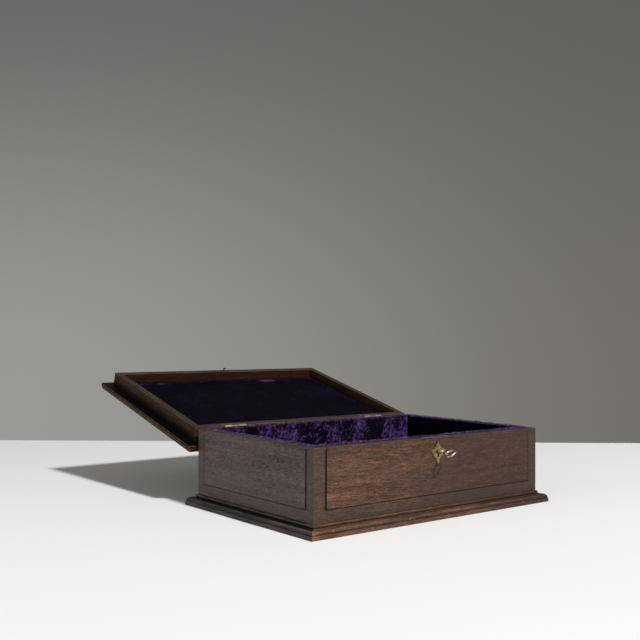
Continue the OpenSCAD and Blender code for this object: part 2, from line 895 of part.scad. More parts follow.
module lid_hook()
    color(brass)
        as_open()
            difference() {
                union() {
                    hook_plate_block();
                    translate([lock_x - hook_neck_w, bolt_y - hook_t / 2, rim_z - hook_drop])
                        cube([hook_neck_w, hook_t, hook_drop + joint_gap + hook_plate_t / 2]);
                    translate([lock_x - hook_neck_w, bolt_y - hook_t / 2, rim_z - hook_drop])
                        cube([hook_neck_w + hook_toe_w, hook_t, hook_toe_h]);
                }
                at_hook_screws() screw_hole(hook_screw_r, hook_screw_head_r, hook_screw_head_h, hook_screw_l);
            }

module lid_hook_screws()
    color(brass)
        as_open()
            at_hook_screws() wood_screw(hook_screw_r, hook_screw_head_r, hook_screw_head_h, hook_screw_l);

front_board();
back_board();
left_board();
right_board();
base_board();
base_pins();
plinth_front();
plinth_back();
plinth_left();
plinth_right();
lining_front();
lining_back();
lining_left();
lining_right();
lining_floor();
escutcheon();
escutcheon_pins();
lock_case();
lock_cover();
lock_drill_pin();
lock_spring();
lock_screws();
lock_bolt();
key();
left_hinge_case_leaf();
right_hinge_case_leaf();
left_hinge_pin();
right_hinge_pin();
case_hinge_screws();
left_hinge_lid_leaf();
right_hinge_lid_leaf();
lid_hinge_screws();
lid_front_rail();
lid_back_rail();
lid_left_rail();
lid_right_rail();
lid_board();
lid_lining();
lid_hook();
lid_hook_screws();
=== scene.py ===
import json
import math

import bpy
import numpy as np
from mathutils import Matrix, Vector


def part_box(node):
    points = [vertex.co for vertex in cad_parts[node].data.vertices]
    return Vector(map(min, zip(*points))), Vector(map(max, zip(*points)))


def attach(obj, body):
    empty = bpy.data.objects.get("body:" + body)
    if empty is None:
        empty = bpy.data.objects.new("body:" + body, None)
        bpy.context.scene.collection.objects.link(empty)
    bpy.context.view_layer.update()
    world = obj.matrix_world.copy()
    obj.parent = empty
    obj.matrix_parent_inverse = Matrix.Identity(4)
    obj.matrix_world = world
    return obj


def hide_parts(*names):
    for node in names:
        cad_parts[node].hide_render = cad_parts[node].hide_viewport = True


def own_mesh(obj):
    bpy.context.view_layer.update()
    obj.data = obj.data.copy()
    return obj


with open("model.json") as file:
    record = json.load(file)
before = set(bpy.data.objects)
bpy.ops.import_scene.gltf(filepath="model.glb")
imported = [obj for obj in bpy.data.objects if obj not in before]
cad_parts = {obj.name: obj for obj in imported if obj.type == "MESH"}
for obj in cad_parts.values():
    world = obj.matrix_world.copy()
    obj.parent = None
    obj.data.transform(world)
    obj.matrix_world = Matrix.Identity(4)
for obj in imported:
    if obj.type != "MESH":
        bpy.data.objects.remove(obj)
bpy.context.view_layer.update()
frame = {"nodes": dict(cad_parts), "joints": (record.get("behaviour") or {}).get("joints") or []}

# Carcase: four oak boards mitred at the corners
# Fumed and waxed oak, 9 mm thick, the grain level on all four sides. A groove is scratched
# round three sides of the front and of both ends, and handling has worn the arrises pale.

RIM_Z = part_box("front_board")[1].z
SIDE_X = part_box("left_board")[0].x
FRONT_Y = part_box("front_board")[0].y
PLINTH_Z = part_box("plinth_front")[1].z
GROOVE_RISE = 0.0136
GROOVE_Z = PLINTH_Z + GROOVE_RISE
GROOVE_IN_FRONT, GROOVE_IN_END = 0.0152, 0.014
HINGE = Vector(frame["joints"][0]["pos_m"])

BROWN = dict(dark=(0.018, 0.009, 0.006), mid=(0.090, 0.042, 0.026), light=(0.255, 0.112, 0.055),
             worn=(0.32, 0.145, 0.065), grey=(0.048, 0.033, 0.026))
# GREY is the same oak greyed, as painted reflection of the pale surroundings on the waxed end boards
GREY = dict(dark=(0.022, 0.014, 0.013), mid=(0.088, 0.063, 0.058), light=(0.190, 0.132, 0.118),
            worn=(0.14, 0.09, 0.06), grey=(0.068, 0.053, 0.050))
FADED = (0.46, 0.47, 0.45)
RIM_TAN = (0.040, 0.029, 0.027)
RIM_GREY = (0.034, 0.028, 0.022)
RIM = RIM_Z - 0.0004, RIM_Z - 0.0001
SOFT_EDGE = 0.0006


def shader(name):
    """A new material, its node tree and its Principled shader."""
    mat = bpy.data.materials.new(name)
    mat.use_nodes = True
    return mat, mat.node_tree, mat.node_tree.nodes["Principled BSDF"]


def add(tree, kind, settings=None, inputs=None):
    """A node with its settings; an input given as a socket is linked, any other is set."""
    made = tree.nodes.new("ShaderNode" + kind)
    for key, value in (settings or {}).items():
        setattr(made, key, value)
    for key, value in (inputs or {}).items():
        if isinstance(value, bpy.types.NodeSocket):
            tree.links.new(value, made.inputs[key])
        else:
            made.inputs[key].default_value = value
    return made


def maths(tree, operation, a, b=0.0):
    return add(tree, "Math", {"operation": operation}, {0: a, 1: b}).outputs[0]


def plus(tree, a, b):
    return maths(tree, "ADD", a, b)


def minus(tree, a, b):
    return maths(tree, "SUBTRACT", a, b)


def times(tree, a, b):
    return maths(tree, "MULTIPLY", a, b)


def gap(tree, a, b):
    """How far two values lie apart."""
    return maths(tree, "ABSOLUTE", minus(tree, a, b))


def mix(tree, share, a, b, blend="MIX"):
    """Colour a turned to b by this share."""
    made = add(tree, "Mix", {"data_type": "RGBA", "blend_type": blend, "clamp_factor": True})
    for socket, value in ((made.inputs[0], share), (made.inputs[6], a), (made.inputs[7], b)):
        if isinstance(value, bpy.types.NodeSocket):
            tree.links.new(value, socket)
        else:
            socket.default_value = value if isinstance(value, float) else (*value, 1)
    return made.outputs[2]


def shade_of(colour, factor):
    """The same colour, darker or lighter."""
    return [c * factor for c in colour]


def ramp(tree, value, low, high, start=0.0, end=1.0):
    """value from low..high to start..end, smooth and held at both ends."""
    made = add(tree, "MapRange", {"interpolation_type": "SMOOTHSTEP"},
               {0: value, 1: low, 2: high, 3: start, 4: end})
    return made.outputs[0]


def noise(tree, vector, scale, detail=2.0, rough=0.5, warp=0.0):
    """Even noise around 0.5."""
    return add(tree, "TexNoise", None, {"Vector": vector, "Scale": scale, "Detail": detail,
                                        "Roughness": rough, "Distortion": warp}).outputs[0]


def stretched(tree, vector, along, across, grain):
    """Coordinates for streaks that run with the grain: along and across in cycles per metre."""
    scale = [across, across, across]
    scale[grain] = along
    return add(tree, "Mapping", None, {"Vector": vector, "Scale": scale}).outputs[0]


def oak(name, grain, dark, mid, light, worn, grey, lid=False, short=2.2, shine=0.26, fade=None,
        field=None, outer=None, bands=(), chips=0.0, tip=None, foot=None, rim=None,
        rub=(0.15, 0.9), hollow_shade=(0.35, 0.85), line=None, deep=None):
    """Waxed oak with its grain along X (0) or Y (1). lid sets the grain on the closed lid, short
    is how much shorter than usual the figure of the grain is, and shine the gloss of the wax.
    fade is where it turns darker along the grain, field the half width of the warm panel, and
    outer the distance from the middle of the box beyond which a rail of the lid is browner.
    bands are the levels that are rubbed bare, on some tops also lighter as a painted highlight,
    or, with a share below 0, painted dark: painted shade in the plinth's flute and quirk and on the
    ledge under the lid's board, and a dark line where the end boards meet the plinth. chips how much
    bare wood shows in small chips, tip the end that is rubbed bare, foot the levels over which the
    wood is painted darker as shade under the lid's moulding, and rim the levels and the colour of the
    sawn edge. rub is how bare the arrises are, hollow_shade the openness below which corners and
    hollows get painted shade, line the share of painted shade in the level groove, and deep the place
    of an upright groove painted black as shade."""
    mat, tree, bsdf = shader(name)
    place = add(tree, "TexCoord").outputs["Object"]
    if lid:
        back = Matrix.Rotation(OPEN_ANGLE, 3, "X")
        place = add(tree, "Mapping", None, {"Vector": place, "Location": HINGE - back @ HINGE,
                                            "Rotation": (OPEN_ANGLE, 0, 0)}).outputs[0]
    axes = add(tree, "SeparateXYZ", None, {0: place}).outputs
    along, level = axes[grain], axes[2]

    # The figure of the grain, from broad patches down to the pores
    patches = noise(tree, place, 22, 2.0, 0.55)
    figure = noise(tree, stretched(tree, place, 8, 150, grain), 1, 2.0, 0.55, 0.4)
    streaks = noise(tree, stretched(tree, place, 32 * short, 880 + 90 * short, grain), 1, 3.0, 0.66, 0.04)
    ticks = noise(tree, stretched(tree, place, 110 * short, 1500 + 140 * short, grain), 1, 2.0, 0.75, 0.04)
    pores = noise(tree, stretched(tree, place, 150, 2500, grain), 1, 2.0, 0.7)
    tone = plus(tree, times(tree, streaks, 0.46), times(tree, figure, 0.16))
    tone = plus(tree, tone, times(tree, patches, 0.10))
    tone = plus(tree, tone, times(tree, ticks, 0.28))
    colour = mix(tree, ramp(tree, tone, 0.39, 0.50), dark, mid)
    colour = mix(tree, ramp(tree, tone, 0.49, 0.62), colour, light)
    colour = mix(tree, ramp(tree, patches, 0.42, 0.62, 0.0, 0.45), colour, grey)

    if fade:
        # Darker towards one end, and a little under the rim
        under_rim = ramp(tree, level, RIM_Z - 0.018, RIM_Z - 0.003, 0.0, 0.4)
        dim = maths(tree, "MAXIMUM", ramp(tree, along, fade[0], fade[1]), under_rim)
        colour = mix(tree, dim, colour, FADED, "MULTIPLY")
        colour = mix(tree, times(tree, dim, 0.30), colour, shade_of(mid, 0.85))
    if field:
        # The stiles outside the groove and the rail under it have kept more of the grey wax
        from_middle = maths(tree, "ABSOLUTE", along)
        inside = times(tree, ramp(tree, from_middle, field + 0.001, field - 0.001),
                       ramp(tree, level, GROOVE_Z - 0.001, GROOVE_Z + 0.001))
        colour = mix(tree, times(tree, minus(tree, 1.0, inside), 0.55), colour, grey)
    if outer:
        past = ramp(tree, maths(tree, "ABSOLUTE", axes[1]), outer - 0.002, outer)
        colour = mix(tree, past, colour, OUTSIDE, "MULTIPLY")
    # Bands above 0 are rubbed bare, and on the plinth's nose, bead and brow also a painted highlight; bands
    # below 0 are painted dark: painted shade in hollows, and a dark line where the end boards meet the
    # plinth
    for low, high, share in bands:
        band = times(tree, ramp(tree, level, low - SOFT_EDGE, low),
                     ramp(tree, level, high + SOFT_EDGE, high))
        if share > 0:
            rough = noise(tree, stretched(tree, place, 36, 90 if lid else 260, grain), 1, 3.0, 0.7)
            band = times(tree, band, ramp(tree, rough, 0.42, 0.60, share * 0.15, share))
            if fade:
                band = times(tree, band, minus(tree, 1.0, times(tree, dim, 0.7)))
            colour = mix(tree, band, colour, shade_of(worn, 0.8))
        else:
            # Painted shade, or the dark line at the foot of the end boards
            colour = mix(tree, times(tree, band, -share), colour, shade_of(dark, 0.15))
    if chips:
        chip = noise(tree, stretched(tree, place, 150, 420, grain), 1, 2.0, 0.6)
        colour = mix(tree, ramp(tree, chip, 0.64, 0.70, 0.0, chips), colour, shade_of(worn, 1.5))
    if tip:
        bare = times(tree, ramp(tree, along, tip + 0.012, tip + 0.001),
                     ramp(tree, streaks, 0.40, 0.55, 0.35, 0.9))
        colour = mix(tree, bare, colour, worn)
    # Painted shade: the rails darken towards the board, under the lid's overhanging moulding
    if foot:
        colour = mix(tree, ramp(tree, level, foot[0], foot[1], 0.0, 0.85), colour, shade_of(dark, 0.3))
    colour = mix(tree, ramp(tree, ticks, 0.46, 0.36, 0.0, 0.6), colour, shade_of(dark, 0.5))
    colour = mix(tree, ramp(tree, pores, 0.47, 0.36, 0.0, 0.55), colour, shade_of(dark, 0.32))
    if rim:
        # Sawn and rubbed edge of the boards where case and lid meet
        sawn = times(tree, ramp(tree, level, rim[0], rim[1]), ramp(tree, patches, 0.3, 0.6, 0.55, 0.95))
        colour = mix(tree, sawn, colour, rim[2])

    # Wear on the arrises, and painted shade in the corners and hollows
    soft = add(tree, "Bevel", {"samples": 6}, {"Radius": 0.0010}).outputs[0]
    sharp = add(tree, "NewGeometry").outputs["Normal"]
    same = add(tree, "VectorMath", {"operation": "DOT_PRODUCT"}, {0: soft, 1: sharp}).outputs["Value"]
    openness = add(tree, "AmbientOcclusion", {"samples": 8}, {"Distance": 0.004}).outputs["AO"]
    arris = times(tree, ramp(tree, minus(tree, 1.0, same), 0.02, 0.16), ramp(tree, openness, 0.55, 0.8))
    if field:
        # Only the corners and the rim are rubbed, not the sides of the grooves
        handled = maths(tree, "MAXIMUM", ramp(tree, from_middle, field + 0.008, field + 0.011),
                        ramp(tree, level, RIM_Z - 0.006, RIM_Z - 0.003, 0.0, 0.15))
        arris = times(tree, arris, handled)
    colour = mix(tree, times(tree, arris, ramp(tree, patches, 0.40, 0.60, rub[0], rub[1])), colour, worn)
    # Painted shade: corners and hollows turn near black by how closed in they are
    colour = mix(tree, ramp(tree, openness, hollow_shade[0], hollow_shade[1], 0.9, 0.0), colour, shade_of(dark, 0.16))
    # Painted shade: a dark line along the level groove
    if line:
        groove_line_shade = times(tree, ramp(tree, gap(tree, level, GROOVE_Z), 0.0008, 0.0004),
                     ramp(tree, from_middle, field + 0.0006, field))
        colour = mix(tree, times(tree, groove_line_shade, line), colour, shade_of(dark, 0.3))
    # Painted shade: the near upright groove is painted black down to the level groove
    if deep:
        upright_groove_shade = times(tree, ramp(tree, gap(tree, along, deep), 0.0015, 0.0009),
                      ramp(tree, level, GROOVE_Z - 0.0010, GROOVE_Z - 0.0004))
        upright_groove_shade = times(tree, upright_groove_shade, ramp(tree, level, RIM_Z - 0.001, RIM_Z - 0.0025))
        colour = mix(tree, upright_groove_shade, colour, shade_of(dark, 0.1))

    tree.links.new(colour, bsdf.inputs["Base Color"])
    tree.links.new(ramp(tree, tone, 0.38, 0.62, 0.56, 0.38), bsdf.inputs["Roughness"])
    bsdf.inputs["Specular IOR Level"].default_value = shine
    height = plus(tree, times(tree, streaks, 0.6), ramp(tree, pores, 0.36, 0.5, 0.0, 0.5))
    height = plus(tree, height, times(tree, ticks, 0.5))
    bump = add(tree, "Bump", None, {"Strength": 0.6, "Distance": 0.00026, "Height": height, "Normal": soft})
    tree.links.new(bump.outputs[0], bsdf.inputs["Normal"])
    return mat


def dress(mat, *names):
    """Gives these CAD nodes their finish."""
    for name in names:
        for part in frame["nodes"][name].material_slots:
            part.material = mat


front_field, end_field = -SIDE_X - GROOVE_IN_FRONT, -FRONT_Y - GROOVE_IN_END
# line and deep paint shade into the level groove and into the near upright groove
front_oak = oak("oak_front", 0, field=front_field, rim=(*RIM, RIM_TAN), fade=(-0.11, 0.10),
                deep=-front_field, line=0.85, short=2.8, **BROWN)
# The back board's rim is painted darker, as shade in the gap under the lid's back rail
back_oak = oak("oak_back", 0, rim=(*RIM, shade_of(RIM_GREY, 0.35)), **BROWN)
# The ends' band at the plinth is a dark line where the boards meet it
end_oak = oak("oak_ends", 1, field=end_field, rim=(*RIM, RIM_GREY), hollow_shade=(0.15, 0.55), deep=-end_field,
              line=0.35, bands=((PLINTH_Z, PLINTH_Z + 0.0006, -0.7),), short=4.5, **GREY)
dress(front_oak, "front_board")
dress(back_oak, "back_board")
dress(end_oak, "left_board", "right_board")

# Base board, let into a rebate under the four boards
# Plain oak, thinner stained than the show faces, held up by twelve panel pins whose heads
# lie flush with the underside.

dress(oak("oak_base", 0, **GREY), "base_board")


def metal(name, base, tarnish, rough, spots=0.5, scale=420.0):
    """Metal that has dulled in patches. spots is how much of it has, scale how fine they are."""
    mat, tree, bsdf = shader(name)
    place = add(tree, "TexCoord").outputs["Object"]
    dull = noise(tree, place, scale, 3.0, 0.6)
    grain = noise(tree, place, scale * 7, 2.0, 0.6)
    openness = add(tree, "AmbientOcclusion", {"samples": 4}, {"Distance": 0.0015}).outputs["AO"]
    colour = mix(tree, ramp(tree, dull, 0.62 - spots * 0.2, 0.72 - spots * 0.1), base, tarnish)
    colour = mix(tree, ramp(tree, openness, 0.3, 0.8, 0.85, 0.0), colour, shade_of(tarnish, 0.15))
    tree.links.new(colour, bsdf.inputs["Base Color"])
    tree.links.new(ramp(tree, dull, 0.35, 0.7, rough, rough + 0.25), bsdf.inputs["Roughness"])
    bsdf.inputs["Metallic"].default_value = 1.0
    soft = add(tree, "Bevel", {"samples": 4}, {"Radius": 0.0003}).outputs[0]
    height = plus(tree, dull, times(tree, grain, 0.35))
    bump = add(tree, "Bump", None, {"Strength": 0.35, "Distance": 0.0001, "Height": height, "Normal": soft})
    tree.links.new(bump.outputs[0], bsdf.inputs["Normal"])
    return mat


steel = metal("lock_steel", (0.34, 0.32, 0.29), (0.10, 0.075, 0.055), 0.42)
dress(steel, "base_pins")

# Plinth: four strips of moulding, mitred and glued round the foot of the carcase
# Oak: a flat member on the table, a fine groove, a quarter round, a deep dark quirk and a bead
# against the boards. The front strip is the most handled and is rubbed to orange brown.

MEMBER, FLUTE, NOSE = (0.0, 0.0040), (0.0046, 0.0060), (0.0078, 0.0094)
QUIRK, BEAD, BROW = (0.0094, 0.0106), (0.0112, 0.0132), (0.0080, 0.0090)
FOOT_X, FOOT_Y = (abs(c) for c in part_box("plinth_front")[0].xy)
PLINTH = dict(BROWN, mid=(0.053, 0.029, 0.020), light=(0.130, 0.064, 0.040), worn=(0.245, 0.110, 0.053))
# DULL takes the ends' painted grey reflection, darker, for the end strips of the plinth
DULL = dict(GREY, dark=(0.009, 0.007, 0.006), mid=(0.023, 0.017, 0.015), light=(0.088, 0.064, 0.053),
            worn=(0.16, 0.135, 0.12))
# FLUTE and QUIRK are painted shade in the groove and the quirk; NOSE, BEAD and BROW are rubbed bare and also
# a painted highlight where their tops catch the light
LONG_BANDS = (*MEMBER, 0.6), (*FLUTE, -0.55), (*NOSE, 0.75), (*QUIRK, -0.2), (*BEAD, 0.6)
SHORT_BANDS = (*MEMBER, 0.12), (*FLUTE, -0.8), (*BROW, 0.6), (*QUIRK, -1.0), (*BEAD, 0.5)

long_plinth_oak = oak("oak_plinth_long", 0, bands=LONG_BANDS, rub=(0.25, 0.8), hollow_shade=(0.1, 0.45), tip=-FOOT_X,
                      chips=0.55, fade=(0.02, 0.12), **PLINTH)
short_plinth_oak = oak("oak_plinth_short", 1, bands=SHORT_BANDS, rub=(0.3, 0.8), hollow_shade=(0.1, 0.5),
                       tip=-FOOT_Y - 0.008, **DULL)
dress(long_plinth_oak, "plinth_front", "plinth_back")
dress(short_plinth_oak, "plinth_left", "plinth_right")

# Box lock, let into the back of the front board
# Steel case and cover with a brass bolt. The bit turns in the bolt's notch, a bowed spring
# bears on the bolt, and four brass screws hold the main plate.

brass = metal("aged_brass", (0.30, 0.22, 0.12), (0.10, 0.062, 0.028), 0.42)
dress(steel, "lock_case", "lock_cover", "lock_drill_pin", "lock_spring")
dress(brass, "lock_bolt", "lock_screws")

# Escutcheon: a kite of sheet brass pinned over the keyhole
# Its upper edges are hollow and its points catch the light. Two small domed pins hold it.

plate_brass = metal("escutcheon_brass", (0.36, 0.25, 0.14), (0.065, 0.042, 0.023), 0.32, 0.85, 240)
dress(plate_brass, "escutcheon", "escutcheon_pins")

# Key: cast brass worn silvery, with a ring bow
# It has a collar that stops it against the plate, and its bow lies over to the right.

dress(metal("key_metal", (0.46, 0.39, 0.31), (0.13, 0.09, 0.055), 0.30, 0.55, 260), "key")

# Hinges: a pair of brass butts let into the two back edges
# The leaves lie flush in the oak with three countersunk screws each, on steel pins.

bright_brass = metal("hinge_brass", (0.55, 0.42, 0.22), (0.22, 0.14, 0.06), 0.34)
# The lid's leaves, with the middle knuckles, are given a darker brass than the case's
lid_leaf_brass = metal("hinge_brass_lid_leaf", (0.30, 0.21, 0.11), (0.10, 0.062, 0.028), 0.42, 0.7)
dress(bright_brass, "left_hinge_case_leaf", "right_hinge_case_leaf")
dress(lid_leaf_brass, "left_hinge_lid_leaf", "right_hinge_lid_leaf")
dress(steel, "left_hinge_pin", "right_hinge_pin")
dress(brass, "case_hinge_screws", "lid_hinge_screws")

# Lid: four mitred rails under a board with a moulded edge
# Dark oak outside, barer and redder on the rails' inner faces. It is drawn closed and
# turned back about the hinges, so its grain is set in the closed lid's own directions.

RAIL_H = 0.018
BOARD_OUT, ARRIS_R, HINGE_OUT = 0.012, 0.0006, 0.0036
JOINT_GAP, STOP_GAP = 0.0003, 0.0003
LID_Z = RIM_Z + JOINT_GAP
BOARD_Z = LID_Z + RAIL_H

# The lid opens until the edge of its board stops just short of the back board
edge_y, edge_z = BOARD_OUT - ARRIS_R - HINGE_OUT, RAIL_H + JOINT_GAP / 2 + ARRIS_R
to_stop = (ARRIS_R + STOP_GAP - HINGE_OUT) / math.hypot(edge_y, edge_z)
OPEN_ANGLE = math.atan2(edge_z, edge_y) + math.acos(to_stop)

LID_RIM = LID_Z + 0.0004, LID_Z + 0.0001
LID_RIM_GREY = (0.038, 0.029, 0.022)
LID_RAIL_SHADE = LID_Z + 0.003, LID_Z + RAIL_H * 0.8
LID_OUTER = -FRONT_Y - 0.001
OUTSIDE = (1.7, 2.5, 2.6)
# LEDGE is painted shade on the ledge under the board; ARRIS is rubbed bare and also a painted highlight
# along the moulding's arris; LIP is rubbed bare
LEDGE = BOARD_Z - 0.001, BOARD_Z + 0.0001, -1.0
ARRIS = BOARD_Z + 0.0003, BOARD_Z + 0.0010, 0.6
LIP = BOARD_Z + 0.0040, BOARD_Z + 0.0049, 0.8
LID = dict(dark=(0.008, 0.004, 0.003), mid=(0.035, 0.018, 0.012), light=(0.130, 0.064, 0.038),
           worn=(0.30, 0.15, 0.07), grey=(0.017, 0.011, 0.008))
INNER = dict(LID, dark=(0.010, 0.004, 0.003), mid=(0.036, 0.012, 0.007), light=(0.085, 0.026, 0.014))
BOARD = dict(LID, dark=(0.006, 0.003, 0.002), mid=(0.012, 0.006, 0.004), light=(0.055, 0.026, 0.015),
             grey=(0.010, 0.007, 0.005))

front_rail_oak = oak("oak_lid_front", 0, lid=True, rim=(*LID_RIM, LID_RIM_GREY), shine=0.12,
                     outer=LID_OUTER, **INNER)
back_rail_oak = oak("oak_lid_back", 0, lid=True, rim=(*LID_RIM, RIM_TAN), shine=0.12,
                    outer=LID_OUTER, **INNER)
short_rail_oak = oak("oak_lid_short", 1, lid=True, rim=(*LID_RIM, LID_RIM_GREY), shine=0.10,
                     foot=LID_RAIL_SHADE, **LID)
lid_board_oak = oak("oak_lid_board", 0, lid=True, rub=(0.8, 1.0), hollow_shade=(0.2, 0.6), bands=(ARRIS, LIP, LEDGE),
                    shine=0.10, **BOARD)
dress(front_rail_oak, "lid_front_rail")
dress(back_rail_oak, "lid_back_rail")
dress(short_rail_oak, "lid_left_rail", "lid_right_rail")
dress(lid_board_oak, "lid_board")

# Hook under the lid's front rail, for the bolt to pass over
# Brass, on a small plate let into the rail with two screws.

hook_brass = metal("hook_brass", (0.10, 0.078, 0.05), (0.03, 0.022, 0.015), 0.45, 0.8)
dress(hook_brass, "lid_hook", "lid_hook_screws")

# Velvet on the four walls: purple silk velvet turned over card
# The pile is crushed into swirls and creases, stands in a soft fringe above the rim, and
# leans different ways, so that the same cloth is near black in one place and violet in another.

SEED = 7
ALONG_STEP, UP_STEP = 0.0012, 0.001
FIRST_CUTS = 16
TUFTS_PER_MM = 30
TUFT_R = 0.00016
PILE_TALL = {"front": 0.0016, "left": 0.0011, "back": 0.0022, "right": 0.0022}
OVER_RIM = 0.0022


def gradient_noise(x, y, seed):
    """Smooth noise from -1 to 1 over arrays of points one cell apart."""
    turn = np.random.RandomState(seed).rand(256) * 2 * np.pi
    xi, yi = np.floor(x).astype(int), np.floor(y).astype(int)
    fx, fy = x - xi, y - yi
    total = 0
    for i in (0, 1):
        for j in (0, 1):
            angle = turn[((xi + i) * 73 + (yi + j) * 179) % 256]
            slope = np.cos(angle) * (fx - i) + np.sin(angle) * (fy - j)
            wx, wy = 1 - abs(fx - i), 1 - abs(fy - j)
            total = total + slope * wx * wx * (3 - 2 * wx) * wy * wy * (3 - 2 * wy)
    return total * 1.5


def crushed(u, v, seed):
    """How the pile leans at points of the cloth in metres: 0 dark, 1 bright, and its relief."""
    wu = u + 0.008 * gradient_noise(u / 0.021, v / 0.021, seed)
    wv = v + 0.008 * gradient_noise(u / 0.021, v / 0.021, seed + 1)
    swirl = gradient_noise(wu / 0.009, wv / 0.011, seed + 2)
    patch = gradient_noise(u / 0.030, v / 0.05, seed + 3)
    fine = gradient_noise(wu / 0.0030, wv / 0.0036, seed + 4)
    lean = np.clip(0.33 + 0.32 * swirl + 0.40 * patch + 0.36 * fine, 0, 1)
    return lean, 0.5 * swirl + 0.5 * fine


def velvet(name, deep, bright, sheen, tint, loops=0.6):
    """Velvet whose colour follows the lean of the pile, kept on the mesh as an attribute, with
    thin bright lines where the pile parts. loops is how bright those are."""
    mat, tree, bsdf = shader(name)
    lean = add(tree, "Attribute", {"attribute_name": "lean"}).outputs["Fac"]
    place = add(tree, "TexCoord").outputs["Object"]
    pile = noise(tree, place, 2200, 2.0, 0.6)
    wool = noise(tree, place, 620, 3.0, 0.7)
    drift = add(tree, "TexNoise", None, {"Vector": place, "Scale": 48.0, "Detail": 1.0}).outputs["Color"]
    drift = add(tree, "VectorMath", {"operation": "SCALE"}, {0: drift, "Scale": 0.022}).outputs[0]
    bent = add(tree, "VectorMath", {"operation": "ADD"}, {0: place, 1: drift}).outputs[0]
    value = plus(tree, lean, times(tree, minus(tree, wool, 0.5), 1.3))
    for scale, wide in ((72, 0.026), (125, 0.034)):
        ridge = gap(tree, noise(tree, bent, scale, 0.0), 0.5)
        lit = times(tree, ramp(tree, ridge, wide, wide * 0.3, 0.0, loops),
                    ramp(tree, lean, 0.0, 0.5, 0.1, 1.0))
        value = plus(tree, value, lit)
    colour = mix(tree, ramp(tree, value, 0.25, 1.3), deep, bright)
    colour = mix(tree, ramp(tree, pile, 0.55, 0.35, 0.0, 0.5), colour, shade_of(deep, 0.3))
    tree.links.new(colour, bsdf.inputs["Base Color"])
    bsdf.inputs["Roughness"].default_value = 0.9
    bsdf.inputs["Specular IOR Level"].default_value = 0.05
    bsdf.inputs["Sheen Weight"].default_value = sheen
    bsdf.inputs["Sheen Roughness"].default_value = 0.35
    bsdf.inputs["Sheen Tint"].default_value = (*tint, 1)
    bump = add(tree, "Bump", None, {"Strength": 0.8, "Distance": 0.0006, "Height": plus(tree, wool, pile)})
    tree.links.new(bump.outputs[0], bsdf.inputs["Normal"])
    return mat


wall_velvet = velvet("purple_velvet", (0.0030, 0.0010, 0.0065), (0.100, 0.050, 0.185),
                     0.04, (0.5, 0.34, 0.9))
# The fringe is a lighter copy of the wall's velvet: painted sheen of pile seen from the side
fringe_velvet_with_sheen = velvet("purple_velvet_pile", (0.030, 0.016, 0.060), (0.40, 0.29, 0.60),
                       0.1, (0.6, 0.48, 0.85))


def keep_lean(obj, lean):
    """Stores the lean of the pile on the mesh, where its velvet reads it."""
    attribute = obj.data.attributes.new("lean", "FLOAT", "POINT")
    attribute.data.foreach_set("value", np.asarray(lean, np.float32))


def points(obj):
    co = np.zeros(len(obj.data.vertices) * 3)
    obj.data.vertices.foreach_get("co", co)
    return co.reshape(-1, 3)


def move_points(obj, co):
    obj.data.vertices.foreach_set("co", np.asarray(co, float).ravel())
    obj.data.update()


def pile_fringe(name, roots, ways, lengths, mat, seed):
    """Tufts of pile: a slim spike of three sides at each root, leaning its own way."""
    rng = np.random.RandomState(seed)
    n = len(roots)
    ways = ways + rng.normal(0, 0.33, (n, 3))
    ways /= np.linalg.norm(ways, axis=1)[:, None]
    side = np.cross(ways, rng.normal(0, 1, (n, 3)))
    side /= np.linalg.norm(side, axis=1)[:, None]
    other = np.cross(ways, side)
    corners = [roots + TUFT_R * (math.cos(a) * side + math.sin(a) * other) for a in (0, 2.094, 4.189)]
    tips = roots + ways * (lengths * rng.uniform(0.55, 1.15, n))[:, None]
    co = np.stack(corners + [tips], 1).reshape(-1, 3)
    base = np.arange(n)[:, None] * 4
    faces = np.concatenate([base + np.array(f) for f in ((0, 1, 3), (1, 2, 3), (2, 0, 3))])
    mesh = bpy.data.meshes.new(name)
    mesh.from_pydata(co.tolist(), [], faces.tolist())
    tufts = bpy.data.objects.new(name, mesh)
    bpy.context.scene.collection.objects.link(tufts)
    keep_lean(tufts, np.repeat(rng.uniform(0.1, 1.0, n) ** 1.6, 4))
    mesh.materials.append(mat)
    return tufts


def select_long_edges(panel):
    """Opens the panel in edit mode with only the edges that run along it selected."""
    bpy.ops.object.mode_set(mode="EDIT")
    bpy.ops.mesh.select_mode(type="EDGE")
    bpy.ops.mesh.select_all(action="DESELECT")
    bpy.ops.object.mode_set(mode="OBJECT")
    height = points(panel)[:, 2]
    for line in panel.data.edges:
        a, b = line.vertices
        line.select = bool(abs(height[a] - height[b]) > 0.01)
    bpy.ops.object.mode_set(mode="EDIT")


